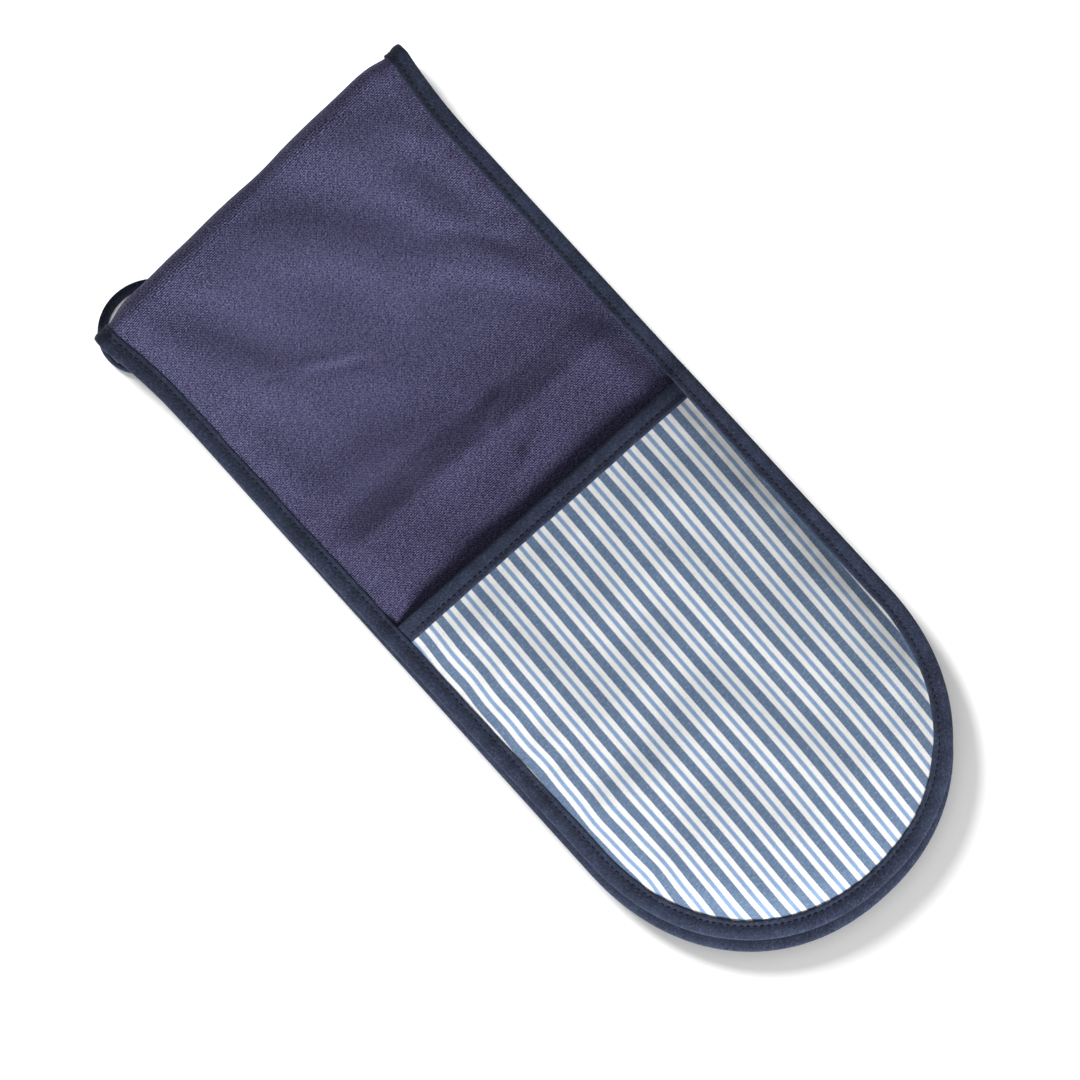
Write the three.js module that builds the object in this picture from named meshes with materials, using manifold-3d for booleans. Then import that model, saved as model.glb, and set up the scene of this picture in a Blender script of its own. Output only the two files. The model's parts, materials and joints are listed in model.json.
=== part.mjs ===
// A double oven glove: one long padded strip with a hand pocket at each rounded end, folded in half with
// the pockets outwards. Millimetres, +Z up. X runs across the strip and Y along it, fold at +Y, toes at -Y.
//
// Each half is laid out by its outline. A column is a place along the outline, from the fold at one side,
// round the toe and back to the fold; an inset is a distance in from the outline; and a height is measured
// outwards from the plane between the two halves. All layers share columns and insets, so they nest.

import * as THREE from 'three';
import { mergeVertices } from 'three/addons/utils/BufferGeometryUtils.js';
import Module from 'manifold-3d';

const wasm = await Module();
wasm.setup();

// The strip's plan.
const gloveWidth = 184;
const pocketDepth = 232;
const openLength = 187;
const foldSlip = 5;
const toeLength = 98;
const toeFullness = 2.15;
const foldFlare = 4;
const flareLength = 45;

// How the halves lie on each other.
const halfGap = 2.4;
const foldInnerRadius = 5;
const halfTurn = THREE.MathUtils.degToRad(0.29);
const foldSlope = 0.028;
const foldSlopeLength = 110;
const mouthSlope = -0.02;
const mouthSlopeLength = 80;

// Cloths and padding.
const clearance = 0.3;
const backCloth = 0.6;
const frontCloth = 0.7;
const bodyWadding = 2.6;
const pocketCloth = 0.6;
const pocketWadding = 1.4;
const liningCloth = 0.5;
const waddingShoulder = 14;

// The pocket's room for a hand, and how far from its edge it is fully open.
const pocketRoom = 6.2;
const pocketShoulder = 30;

// Binding tape.
const tapeCloth = 0.6;
const bindingWidth = 9.5;
const mouthBindingWidth = 9.5;
const mouthDipLength = 14;

// Hanging loop: an oval ring of tape that stands on its edge under the fold's left corner.
const loopLengthX = 47;
const loopLengthY = 42;
const loopTapeWidth = 4.6;
const loopTapeThickness = 1.3;
const loopLean = 1.9;
const loopFloorGap = 0.3;
const loopPastSide = 7;
const loopPastFold = 8;
const loopTabLength = 10;
const loopTabWidth = 6.5;
const loopTabThickness = 1.5;
const loopTabSetback = 4;

// How finely the curves are cut.
const toeSteps = 12;
const foldSteps = 8;
const loopSteps = 28;

// Values that follow from those above.
const halfWidth = gloveWidth / 2;
const borderInset = bindingWidth - clearance;
const pocketEdgeInset = borderInset + 0.13 * pocketShoulder;
const mouthDip = clearance + tapeCloth;
const shoulderInsets = [0.35, 0.65, 1].map((share) => borderInset + share * pocketShoulder);
const clothInset = tapeCloth + clearance;
const openLengths = { lower: openLength + foldSlip, upper: openLength };

const navyDrill = { color: 0x4a4866, roughness: 0.92, metalness: 0 };
const ticking = { color: 0xb9c8d8, roughness: 0.9, metalness: 0 };
const wadding = { color: 0xece9e2, roughness: 1, metalness: 0 };
const lining = { color: 0xe6e4de, roughness: 0.95, metalness: 0 };
const tape = { color: 0x465068, roughness: 0.88, metalness: 0 };

const mitt = new THREE.Group();

function addPiece(name, geometry, look) {
  const mesh = new THREE.Mesh(geometry, new THREE.MeshStandardMaterial(look));
  mesh.name = name;
  mitt.add(mesh);
}

function smooth(share) {
  const t = THREE.MathUtils.clamp(share, 0, 1);
  return t * t * (3 - 2 * t);
}

function hump(distance, reach) {
  return smooth(1 - Math.abs(distance) / reach);
}

// ---- Heights, from the plane between the halves ----

// The back cloth's inner face, at a distance before the fold starts.
function innerHeight(beforeFold) {
  const rest = halfGap / 2;
  return rest + (foldInnerRadius - rest) * smooth(1 - beforeFold / openLength);
}

function shoulder(inset, reach) {
  const share = THREE.MathUtils.clamp((inset - borderInset) / reach, 0, 1);
  return Math.sin((share * Math.PI) / 2);
}

// The padding and the two gaps round it; at the border the cloths lie on each other.
function bodyFill(inset) {
  const padding = shoulder(inset, waddingShoulder) * bodyWadding;
  return clearance + padding + clearance * shoulder(inset, waddingShoulder);
}

// The pocket's room, less by the mouth binding's thickness under that binding, so that it lies flush.
function roomAt(station) {
  const intoDip = station - (pocketDepth - mouthBindingWidth - mouthDipLength);
  return pocketRoom - mouthDip * smooth(intoDip / mouthDipLength);
}

function pocketFill(inset) {
  const padding = shoulder(inset, waddingShoulder) * pocketWadding;
  return clearance + padding + clearance * shoulder(inset, waddingShoulder);
}

// Each layer's lower and upper face at an inset and a distance from the toe, above the back cloth's face.
const layers = {
  back: { from: () => 0, to: () => backCloth },
  bodyWadding: {
    from: () => backCloth + clearance,
    to: (inset) => layers.front.from(inset) - clearance * shoulder(inset, waddingShoulder),
  },
  front: {
    from: (inset) => backCloth + bodyFill(inset),
    to: (inset) => layers.front.from(inset) + frontCloth,
  },
  lining: {
    from: (inset, s) => layers.front.to(inset) + clearance + roomAt(s) * shoulder(inset, pocketShoulder),
    to: (inset, s) => layers.lining.from(inset, s) + liningCloth,
  },
  pocketWadding: {
    from: (inset, s) => layers.lining.to(inset, s) + clearance,
    to: (inset, s) => layers.pocket.from(inset, s) - clearance * shoulder(inset, waddingShoulder),
  },
  pocket: {
    from: (inset, s) => layers.lining.to(inset, s) + pocketFill(inset),
    to: (inset, s) => layers.pocket.from(inset, s) + pocketCloth,
  },
};

// ---- Where a point of the flat strip goes ----

// The distance from the strip's middle line at an inset; the strip widens a little towards the fold.
function acrossAt(inset, beforeFold) {
  const share = Math.max(0, 1 - beforeFold / flareLength);
  return (halfWidth - inset) * (1 + (foldFlare / halfWidth) * share * share);
}

// A point of a half: x across, s from the toe, height from the plane between the halves.
function layDown(half, x, s, height) {
  const beforeFold = pocketDepth + openLengths[half] - s;
  const side = half === 'lower' ? -1 : 1;
  const slope = foldSlope * hump(beforeFold, foldSlopeLength)
    + mouthSlope * hump(s - pocketDepth, mouthSlopeLength);
  const point = new THREE.Vector3(x, slope * x - beforeFold, side * height);
  return point.applyAxisAngle(new THREE.Vector3(0, 0, 1), side * halfTurn);
}

// A point of the fold: x across, turned by an angle from the lower half round to the upper one.
function rollOver(x, angle, height) {
  const point = new THREE.Vector3(x, foldSlope * x + height * Math.sin(angle), -height * Math.cos(angle));
  return point.applyAxisAngle(new THREE.Vector3(0, 0, 1), -halfTurn * Math.cos(angle));
}

// ---- Columns along the outline ----

function toeColumns() {
  const columns = [];
  for (let i = 1; i < toeSteps; i += 1) {
    const angle = (i / toeSteps) * Math.PI;
    const power = 2 / toeFullness;
    const across = Math.sign(-Math.cos(angle)) * Math.abs(Math.cos(angle)) ** power;
    columns.push({ across: i * 2 === toeSteps ? 0 : across, along: Math.sin(angle) ** power });
  }
  return columns;
}

function outlineColumns(stations) {
  const straight = stations.map((station) => ({ across: 1, station }));
  const left = straight.map((column) => ({ ...column, across: -1 })).reverse();
  return [...left, ...toeColumns(), ...straight];
}

function pocketStations() {
  const flush = pocketDepth - mouthBindingWidth;
  const dip = flush - mouthDipLength;
  return [toeLength, (toeLength + dip) / 2, dip, flush - mouthDipLength / 2, flush, pocketDepth];
}

function bodyStations(half) {
  const first = pocketDepth + clearance + tapeCloth;
  const low = first + mouthBindingWidth;
  const last = pocketDepth + openLengths[half] - clearance;
  const rest = [1, 2, 3, 4, 5].map((i) => low + (i / 5) * (last - low));
  return [toeLength, (toeLength + pocketDepth) / 2, pocketDepth, first, low, ...rest];
}

function columnPoint(half, column, inset, height) {
  const length = pocketDepth + openLengths[half];
  const s = column.station ?? toeLength - (toeLength - inset) * column.along;
  const x = column.across * acrossAt(inset, length - s);
  return layDown(half, x, s, innerHeight(length - s) + height);
}

// ---- Closed solids from rows of points ----

function solidFrom(positions, triangles) {
  const loose = new THREE.BufferGeometry();
  loose.setAttribute('position', new THREE.Float32BufferAttribute(positions.flatMap((p) => p.toArray()), 3));
  loose.setIndex(triangles.flat());
  const welded = mergeVertices(loose, 1e-4);
  const index = welded.getIndex().array;
  const kept = [];
  for (let i = 0; i < index.length; i += 3) {
    const [a, b, c] = [index[i], index[i + 1], index[i + 2]];
    if (a !== b && b !== c && c !== a) kept.push([a, b, c]);
  }
  const outward = signedVolume(welded, kept) > 0;
  welded.setIndex(kept.flatMap(([a, b, c]) => (outward ? [a, b, c] : [a, c, b])));
  welded.computeVertexNormals();
  return welded;
}

function signedVolume(geometry, triangles) {
  const position = geometry.getAttribute('position');
  const corner = (i) => new THREE.Vector3().fromBufferAttribute(position, i);
  return triangles.reduce((sum, [a, b, c]) => sum + corner(a).dot(corner(b).cross(corner(c))), 0);
}

function quad(a, b, c, d) {
  return [[a, b, c], [a, c, d]];
}

// A layer of a half: the space between two height functions, inside an outline that ends square.
function layerSolid(half, columns, insets, layer) {
  const positions = [];
  for (const face of [layer.from, layer.to]) {
    for (const inset of insets) {
      for (const column of columns) {
        const height = face(inset, column.station ?? toeLength);
        positions.push(columnPoint(half, column, inset, height));
      }
    }
  }
  const rings = insets.length;
  const count = columns.length;
  const at = (face, ring, column) => (face * rings + ring) * count + column;
  const triangles = [];
  for (let r = 0; r < rings - 1; r += 1) {
    for (let c = 0; c < count - 1; c += 1) {
      triangles.push(...quad(at(1, r, c), at(1, r, c + 1), at(1, r + 1, c + 1), at(1, r + 1, c)));
      triangles.push(...quad(at(0, r, c), at(0, r + 1, c), at(0, r + 1, c + 1), at(0, r, c + 1)));
    }
    triangles.push(...quad(at(0, r, 0), at(1, r, 0), at(1, r + 1, 0), at(0, r + 1, 0)));
    const last = count - 1;
    triangles.push(...quad(at(0, r, last), at(0, r + 1, last), at(1, r + 1, last), at(1, r, last)));
  }
  for (let c = 0; c < count - 1; c += 1) {
    triangles.push(...quad(at(0, 0, c), at(0, 0, c + 1), at(1, 0, c + 1), at(1, 0, c)));
  }
  return solidFrom(positions, triangles);
}

// A solid through closed sections of equal point counts, capped by the given flat contour unless it closes.
function loft(sections, contour) {
  const positions = sections.flat();
  const size = sections[0].length;
  const at = (section, i) => (section % sections.length) * size + (i % size);
  const spans = contour ? sections.length - 1 : sections.length;
  const triangles = [];
  for (let s = 0; s < spans; s += 1) {
    for (let i = 0; i < size; i += 1) {
      triangles.push(...quad(at(s, i), at(s, i + 1), at(s + 1, i + 1), at(s + 1, i)));
    }
  }
  if (contour) {
    const flat = contour.map(([u, v]) => new THREE.Vector2(u, v));
    const turn = THREE.ShapeUtils.area(flat);
    for (const corners of THREE.ShapeUtils.triangulateShape(flat, [])) {
      const follows = THREE.ShapeUtils.area(corners.map((i) => flat[i])) * turn > 0;
      const onward = follows ? corners : [...corners].reverse();
      triangles.push(onward.map((i) => at(sections.length - 1, i)));
      triangles.push([...onward].reverse().map((i) => at(0, i)));
    }
  }
  return solidFrom(positions, triangles);
}

// ---- The binding that closes the strip's edge ----

// A folded tape round the edge of a stack of cloths: [inset, height] points, from the inner lip's end.
function tapeSection(low, high, width) {
  const outerLow = low - clearance - tapeCloth;
  const outerHigh = high + clearance + tapeCloth;
  const round = 1.5 * tapeCloth;
  return [
    [width, outerLow + tapeCloth],
    [width, outerLow],
    [round, outerLow],
    [0, outerLow + round],
    [0, outerHigh - round],
    [round, outerHigh],
    [width, outerHigh],
    [width, outerHigh - tapeCloth],
    [tapeCloth, outerHigh - tapeCloth],
    [tapeCloth, outerLow + tapeCloth],
  ];
}

function stackTop(column) {
  const onPocket = column.station === undefined || column.station < pocketDepth + mouthBindingWidth / 2;
  return onPocket ? layers.pocket.to(0, toeLength) : layers.front.to(0);
}

function edgeBinding(half, columns) {
  const sections = columns.map((column) => tapeSection(0, stackTop(column), bindingWidth)
    .map(([inset, height]) => columnPoint(half, column, inset, height)));
  return loft(sections, tapeSection(0, layers.front.to(0), bindingWidth));
}

// The tape over the pocket's mouth, between the side bindings.
function mouthBinding(half) {
  const insets = [pocketEdgeInset, ...shoulderInsets];
  const across = [
    ...insets.map((inset) => ({ inset, side: -1 })),
    ...insets.map((inset) => ({ inset, side: 1 })).reverse(),
  ];
  const section = (inset) => tapeSection(
    layers.lining.from(inset, pocketDepth),
    layers.pocket.to(inset, pocketDepth),
    mouthBindingWidth,
  );
  const edge = pocketDepth + clearance + tapeCloth;
  const sections = across.map(({ inset, side }) => section(inset).map(([along, height]) => layDown(
    half,
    side * (halfWidth - inset),
    edge - along,
    innerHeight(openLengths[half]) + height,
  )));
  return loft(sections, section(pocketEdgeInset));
}

// ---- The fold ----

function foldAngles() {
  return Array.from({ length: foldSteps + 1 }, (_, i) => (i / foldSteps) * Math.PI);
}

function foldLayer(insets, layer) {
  const left = insets.map((inset) => ({ inset, x: -acrossAt(inset, 0) }));
  const across = [...left, ...left.filter(({ x }) => x < 0).map(({ inset, x }) => ({ inset, x: -x })).reverse()];
  const contour = [
    ...across.map(({ inset, x }) => [x, foldInnerRadius + layer.from(inset)]),
    ...across.map(({ inset, x }) => [x, foldInnerRadius + layer.to(inset)]).reverse(),
  ];
  return loft(foldAngles().map((angle) => contour.map(([x, height]) => rollOver(x, angle, height))), contour);
}

function foldBinding(side) {
  const section = tapeSection(foldInnerRadius, foldInnerRadius + layers.front.to(0), bindingWidth);
  return loft(foldAngles().map((angle) => section.map(
    ([inset, height]) => rollOver(side * acrossAt(inset, 0), angle, height),
  )), section);
}

// ---- The hanging loop ----

function toManifold(geometry) {
  return new wasm.Manifold(new wasm.Mesh({
    numProp: 3,
    vertProperties: new Float32Array(geometry.getAttribute('position').array),
    triVerts: new Uint32Array(geometry.getIndex().array),
  }));
}

function fromManifold(solid) {
  const { vertProperties, triVerts } = solid.getMesh();
  const geometry = new THREE.BufferGeometry();
  geometry.setAttribute('position', new THREE.BufferAttribute(vertProperties, 3));
  geometry.setIndex(new THREE.BufferAttribute(triVerts, 1));
  geometry.computeVertexNormals();
  return geometry;
}

function boxSolid(low, high) {
  const box = new THREE.BoxGeometry(high[0] - low[0], high[1] - low[1], high[2] - low[2]);
  box.translate((low[0] + high[0]) / 2, (low[1] + high[1]) / 2, (low[2] + high[2]) / 2);
  box.deleteAttribute('normal');
  box.deleteAttribute('uv');
  return toManifold(mergeVertices(box));
}

// The ring leans in towards its top. Its tab turns in under the side binding, where it is sewn.
function hangingLoop() {
  const floor = -halfGap / 2 - layers.pocket.to(halfWidth, toeLength) + loopFloorGap;
  const top = floor + loopTapeWidth;
  const crest = foldInnerRadius + layers.front.to(halfWidth) - foldSlope * halfWidth;
  const centre = [loopLengthX / 2 - halfWidth - loopPastSide, crest + loopPastFold - loopLengthY / 2];
  const sections = [];
  for (let i = 0; i < loopSteps; i += 1) {
    const angle = (i / loopSteps) * 2 * Math.PI;
    const at = (inset, z) => new THREE.Vector3(
      centre[0] + Math.cos(angle) * (loopLengthX / 2 - inset),
      centre[1] + Math.sin(angle) * (loopLengthY / 2 - inset),
      z,
    );
    sections.push([
      at(0, floor),
      at(loopTapeThickness, floor),
      at(loopTapeThickness + loopLean, top),
      at(loopLean, top),
    ]);
  }
  const tabTop = -foldInnerRadius - layers.front.to(0) - 2 * clearance - tapeCloth;
  const outer = -halfWidth - loopPastSide + loopLean + 0.2;
  const end = -loopTabSetback;
  const plate = boxSolid(
    [outer, end - loopTabWidth, tabTop - loopTabThickness],
    [outer + loopTabLength, end, tabTop],
  );
  const riser = boxSolid(
    [outer, end - loopTabWidth, floor + loopTapeWidth / 2],
    [outer + loopTapeThickness, end, tabTop],
  );
  return fromManifold(toManifold(loft(sections)).add(plate).add(riser));
}

// ---- Assembly ----

const bodyInsets = [borderInset, pocketEdgeInset, shoulderInsets[0], shoulderInsets[2], halfWidth];
const pocketInsets = [borderInset, pocketEdgeInset, ...shoulderInsets, halfWidth];

for (const half of ['lower', 'upper']) {
  const body = outlineColumns(bodyStations(half));
  const pocket = outlineColumns(pocketStations());
  const bodyCloth = [clothInset, ...bodyInsets];
  const pocketPanel = [clothInset, ...pocketInsets];
  addPiece(`${half}_back_cloth`, layerSolid(half, body, bodyCloth, layers.back), ticking);
  addPiece(`${half}_wadding`, layerSolid(half, body, bodyInsets.slice(1), layers.bodyWadding), wadding);
  addPiece(`${half}_front_cloth`, layerSolid(half, body, bodyCloth, layers.front), navyDrill);
  addPiece(`${half}_binding`, edgeBinding(half, body), tape);
  addPiece(`${half}_pocket_lining`, layerSolid(half, pocket, pocketPanel, layers.lining), lining);
  addPiece(`${half}_pocket_wadding`, layerSolid(half, pocket, pocketInsets.slice(1), layers.pocketWadding), wadding);
  addPiece(`${half}_pocket_cloth`, layerSolid(half, pocket, pocketPanel, layers.pocket), ticking);
  addPiece(`${half}_pocket_binding`, mouthBinding(half), tape);
}

addPiece('fold_back_cloth', foldLayer([clothInset, ...bodyInsets], layers.back), ticking);
addPiece('fold_wadding', foldLayer(bodyInsets.slice(1), layers.bodyWadding), wadding);
addPiece('fold_front_cloth', foldLayer([clothInset, ...bodyInsets], layers.front), navyDrill);
addPiece('fold_binding_left', foldBinding(-1), tape);
addPiece('fold_binding_right', foldBinding(1), tape);
addPiece('hanging_loop', hangingLoop(), tape);

// The origin is under the middle of the whole glove, on the surface that it lies on.
const extent = new THREE.Box3().setFromObject(mitt);
const middle = extent.getCenter(new THREE.Vector3());
mitt.position.set(-middle.x, -middle.y, -extent.min.z);

export default mitt;
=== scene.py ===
"""Double oven glove folded in half, in the row frame of its CAD part."""
import json
import math

import bpy
import numpy as np
from mathutils import Matrix, Vector


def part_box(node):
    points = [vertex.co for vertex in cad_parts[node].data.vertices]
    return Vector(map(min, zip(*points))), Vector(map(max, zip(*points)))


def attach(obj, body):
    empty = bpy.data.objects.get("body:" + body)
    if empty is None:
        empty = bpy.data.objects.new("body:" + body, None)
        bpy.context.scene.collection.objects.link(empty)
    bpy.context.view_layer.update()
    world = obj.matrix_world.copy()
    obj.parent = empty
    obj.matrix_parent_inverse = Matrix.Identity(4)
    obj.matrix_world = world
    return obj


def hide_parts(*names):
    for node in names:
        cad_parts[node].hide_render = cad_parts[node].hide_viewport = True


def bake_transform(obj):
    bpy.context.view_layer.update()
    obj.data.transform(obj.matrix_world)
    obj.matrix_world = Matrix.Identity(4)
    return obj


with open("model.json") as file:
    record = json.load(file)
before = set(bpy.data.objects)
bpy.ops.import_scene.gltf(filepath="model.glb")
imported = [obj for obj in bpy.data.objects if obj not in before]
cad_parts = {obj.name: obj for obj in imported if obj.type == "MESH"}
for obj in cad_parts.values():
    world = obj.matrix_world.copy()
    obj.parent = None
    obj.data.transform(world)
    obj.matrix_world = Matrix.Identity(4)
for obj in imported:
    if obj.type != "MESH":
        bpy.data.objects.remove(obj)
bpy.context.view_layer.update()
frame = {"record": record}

MM = 0.001

# ---- The glove's plan, in millimetres, as in its CAD part ----
HALF = 92.0
POCKET = 232.0
OPEN = 187.0
SLIP = 5.0
TOE = 98.0
FULLNESS = 2.15
FLARE = 4.0
FLARE_LENGTH = 45.0
HALF_GAP = 2.4
FOLD_RADIUS = 5.0
HALF_TURN = math.radians(0.29)
FOLD_SLOPE = 0.028
FOLD_SLOPE_LENGTH = 110.0
MOUTH_SLOPE = -0.02
MOUTH_SLOPE_LENGTH = 80.0
ROLL = 22.0
PIVOT_PAST_ROLL = 3.0

# How the pocket's ticking is laid: its lean, and how far its stripes waver.
TICKING_SKEW = -0.038
STRIPE_WAVER = 0.45

# ---- Layers ----
BORDER = 9.2
GAP = 0.3
BACK = 0.6
FRONT = 0.7
WADDING = 2.6
POCKET_CLOTH = 0.6
POCKET_WADDING = 1.4
LINING = 0.5
SHOULDER = 14.0
ROOM = 6.2
ROOM_SHOULDER = 40.0
TAPE_WIDTH = 9.5
# The finished edge tape as it lies, rolled a little round the edge, shows this share of its width.
TAPE_SHARE = 0.91
MOUTH_DIP = 0.9
MOUTH_DIP_LENGTH = 14.0
# How far the padded drill swells up to meet the mouth of the pocket.
MOUTH_RISE = 3.6

LOWER_LENGTH = POCKET + OPEN + SLIP
UPPER_LENGTH = POCKET + OPEN

FOLD_JOINT = next(j for j in frame["record"]["behaviour"]["joints"] if j["name"] == "fold")
ROLL_CENTRE = np.array(FOLD_JOINT["pos_m"]) / MM - np.array([0.0, PIVOT_PAST_ROLL, 0.0])


# ---- Plain functions ----
def smooth(share):
    t = np.clip(share, 0, 1)
    return t * t * (3 - 2 * t)


def hump(distance, reach):
    return smooth(1 - np.abs(distance) / reach)


def shoulder(inset, reach):
    return np.sin(np.clip((inset - BORDER) / reach, 0, 1) * math.pi / 2)


def ripple(x, y, seed, octaves=3):
    """A smooth wavy field, about -1 to 1, of a few crossing sine waves, each about 2 pi long."""
    rng = np.random.default_rng(seed)
    total = np.zeros(np.broadcast(x, y).shape)
    for octave in range(octaves):
        for _ in range(4):
            turn = rng.uniform(0, 2 * math.pi)
            phase = rng.uniform(0, 2 * math.pi)
            stretch = rng.uniform(0.7, 1.4) * 1.9**octave
            wave = np.sin(stretch * (x * math.cos(turn) + y * math.sin(turn)) + phase)
            total = total + wave * 0.5**octave / 4
    return total * 1.3


# ---- The strip: x across, r along it from where the fold starts on the lower half ----
def before_fold(r):
    return np.where(r < 0, -r, np.maximum(r - ROLL, 0))


def from_toe(r):
    return np.where(r < ROLL / 2, LOWER_LENGTH, UPPER_LENGTH) - before_fold(r)


def flare(r):
    share = np.maximum(0, 1 - before_fold(r) / FLARE_LENGTH)
    return 1 + FLARE / HALF * share * share


def half_width(r, inset):
    """The strip's half width at r, less an inset."""
    rise = np.clip((TOE - from_toe(r)) / (TOE - inset), 0, 1)
    return (HALF - inset) * (1 - rise**FULLNESS) ** (1 / FULLNESS) * flare(r)


def inset_at(x, r):
    """How far a point is from the strip's edge."""
    x = np.abs(x) / flare(r)
    side = HALF - x
    up = TOE - from_toe(r)
    low = np.full(x.shape, -6.0)
    high = np.full(x.shape, HALF - 0.5)
    for _ in range(26):
        middle = (low + high) / 2
        across = x / (HALF - middle)
        along = np.maximum(up, 0) / (TOE - middle)
        outside = across**FULLNESS + along**FULLNESS > 1
        low, high = np.where(outside, low, middle), np.where(outside, middle, high)
    return np.where(up > 0, (low + high) / 2, side)


def place(x, r, height):
    """Where the folded glove holds a point of the strip, at a height above the back cloth's inner face."""
    x, r, height = np.broadcast_arrays(x, r, height)
    rest = HALF_GAP / 2
    before = before_fold(r)
    level = rest + (FOLD_RADIUS - rest) * smooth(1 - before / OPEN) + height
    angle = np.clip(r / ROLL, 0, 1) * math.pi
    slope = FOLD_SLOPE * hump(before, FOLD_SLOPE_LENGTH)
    slope = slope + MOUTH_SLOPE * hump(from_toe(r) - POCKET, MOUTH_SLOPE_LENGTH)
    y = slope * x - before + level * np.sin(angle)
    side = -np.cos(angle)
    turn = HALF_TURN * side
    turned_x = x * np.cos(turn) - y * np.sin(turn)
    turned_y = x * np.sin(turn) + y * np.cos(turn)
    return (np.stack([turned_x, turned_y, level * side], -1) + ROLL_CENTRE) * MM


# ---- How the soft surface lies: swells, creases and puckers, in millimetres ----
# Each soft fold of the drill: its middle's x and distance before the fold, its direction in degrees, and its
# length, width and height.
DRILL_FOLDS = [
    (5, 34, 126, 84, 18, 1.15),
    (25, 20, 126, 84, 17, -1.05),
    (46, 4, 130, 70, 20, 0.80),
    (-62, 42, 115, 76, 18, 0.75),
    (-43, 36, 115, 72, 17, -0.95),
    (-20, 14, 120, 50, 22, 0.45),
    (55, 62, 104, 66, 15, 0.95),
    (72, 54, 104, 70, 14, -1.25),
    (57, 94, 129, 58, 11, 0.85),
    (66, 84, 129, 52, 9, -0.85),
    (76, 8, 90, 26, 10, -0.70),
    (-20, 84, 118, 60, 26, 0.50),
    (-58, 100, 100, 70, 22, -0.45),
    (20, 112, 150, 70, 24, -0.40),
    (-40, 122, 172, 60, 16, 0.40),
    (13, 141, 35, 16, 6, 0.95),
    (16, 158, 70, 18, 5, -1.05),
    (12, 167, 30, 22, 5, 0.95),
    (-24, 76, 148, 26, 5, 0.85),
    (-21, 81, 148, 26, 5, -0.75),
]


def packing_crease(x, before):
    """The crease across the drill where the glove was folded small: a steep climb, then a long fall."""
    past = before - 148.5 - 1.6 * np.sin(x / 27) - 0.012 * x
    tent = np.clip(np.minimum(1 + past / 15, 1 - past / 40), 0, 1)
    return (5.2 + 0.5 * np.sin(x / 19 + 1)) * tent**1.08


def eased(before):
    """The distance before the fold, flattened out where the roll begins, so no fold ends in a line there."""
    return before - 6 * (1 - np.exp(-before / 6)) + 6 * smooth(before / 60)


def soft_folds(x, along, folds):
    total = np.zeros(np.broadcast(x, along).shape)
    for middle_x, middle_along, direction, length, width, height in folds:
        c, s = math.cos(math.radians(direction)), math.sin(math.radians(direction))
        dx, dy = x - middle_x, -(along - middle_along)
        lengthways = (dx * c + dy * s) / (length / 2)
        crossways = (-dx * s + dy * c) / (width / 2)
        total = total + height * np.exp(-(lengthways**4) - crossways**2)
    return total


# ---- Cloth simulation: a cloth a little larger than the frame it is sewn to settles, its edges held ----
SIM_SCALE = 0.01
SIM_FRAMES = 24
SIM_STEP = 4.0
RELIEFS = {}


def settled(name, x_end, r_low, r_high, start, spare, bending):
    """Settle a cloth by simulation and keep its heights, in millimetres, on a grid over the strip."""
    across = np.linspace(-x_end, x_end, int(2 * x_end / SIM_STEP) + 1)
    along = np.linspace(r_low, r_high, int((r_high - r_low) / SIM_STEP) + 1)
    x, r = np.meshgrid(across, along)
    height = start(x, r)
    rows, columns = x.shape
    index = np.arange(rows * columns).reshape(rows, columns)
    faces = np.stack([index[:-1, :-1], index[:-1, 1:], index[1:, 1:], index[1:, :-1]], -1).reshape(-1, 4)
    points = np.stack([x, r, height], -1).reshape(-1, 3) * SIM_SCALE
    mesh = bpy.data.meshes.new(name + "_trial")
    mesh.from_pydata(points.tolist(), [], faces.tolist())
    trial = bpy.data.objects.new(name + "_trial", mesh)
    bpy.context.scene.collection.objects.link(trial)
    sewn = np.zeros(x.shape, bool)
    sewn[[0, -1], :] = True
    sewn[:, [0, -1]] = True
    group = trial.vertex_groups.new(name="sewn")
    group.add(np.flatnonzero(sewn).tolist(), 1.0, "REPLACE")
    group.add(np.flatnonzero(~sewn).tolist(), 0.22, "REPLACE")
    cloth_modifier = trial.modifiers.new("cloth", "CLOTH")
    settings = cloth_modifier.settings
    settings.quality = 5
    settings.mass = 0.3
    settings.tension_stiffness = 15
    settings.compression_stiffness = 15
    settings.shear_stiffness = 5
    settings.bending_stiffness = bending
    settings.air_damping = 2
    settings.shrink_min = -spare
    settings.vertex_group_mass = "sewn"
    settings.pin_stiffness = 1.0
    settings.effector_weights.gravity = 0
    cloth_modifier.collision_settings.use_collision = False
    cloth_modifier.collision_settings.use_self_collision = False
    cloth_modifier.point_cache.frame_start = 1
    cloth_modifier.point_cache.frame_end = SIM_FRAMES
    for step in range(1, SIM_FRAMES + 1):
        bpy.context.scene.frame_set(step)
    evaluated = trial.evaluated_get(bpy.context.evaluated_depsgraph_get())
    settled_points = np.empty(rows * columns * 3)
    evaluated.data.vertices.foreach_get("co", settled_points)
    heights = settled_points.reshape(rows, columns, 3)[..., 2] / SIM_SCALE
    bpy.data.objects.remove(trial)
    bpy.data.meshes.remove(mesh)
    bpy.context.scene.frame_set(1)
    RELIEFS[name] = (across, along, soften(heights))


def soften(field):
    """Ease a grid's sharpest steps: one pass of a small smoothing weight each way."""
    padded = np.pad(field, 1, mode="edge")
    rows = (padded[:-2] + 2 * padded[1:-1] + padded[2:]) / 4
    return (rows[:, :-2] + 2 * rows[:, 1:-1] + rows[:, 2:]) / 4


def catmull(a, b, c, d, t):
    return b + 0.5 * t * (c - a + t * (2 * a - 5 * b + 4 * c - d + t * (3 * (b - c) + d - a)))


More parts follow.
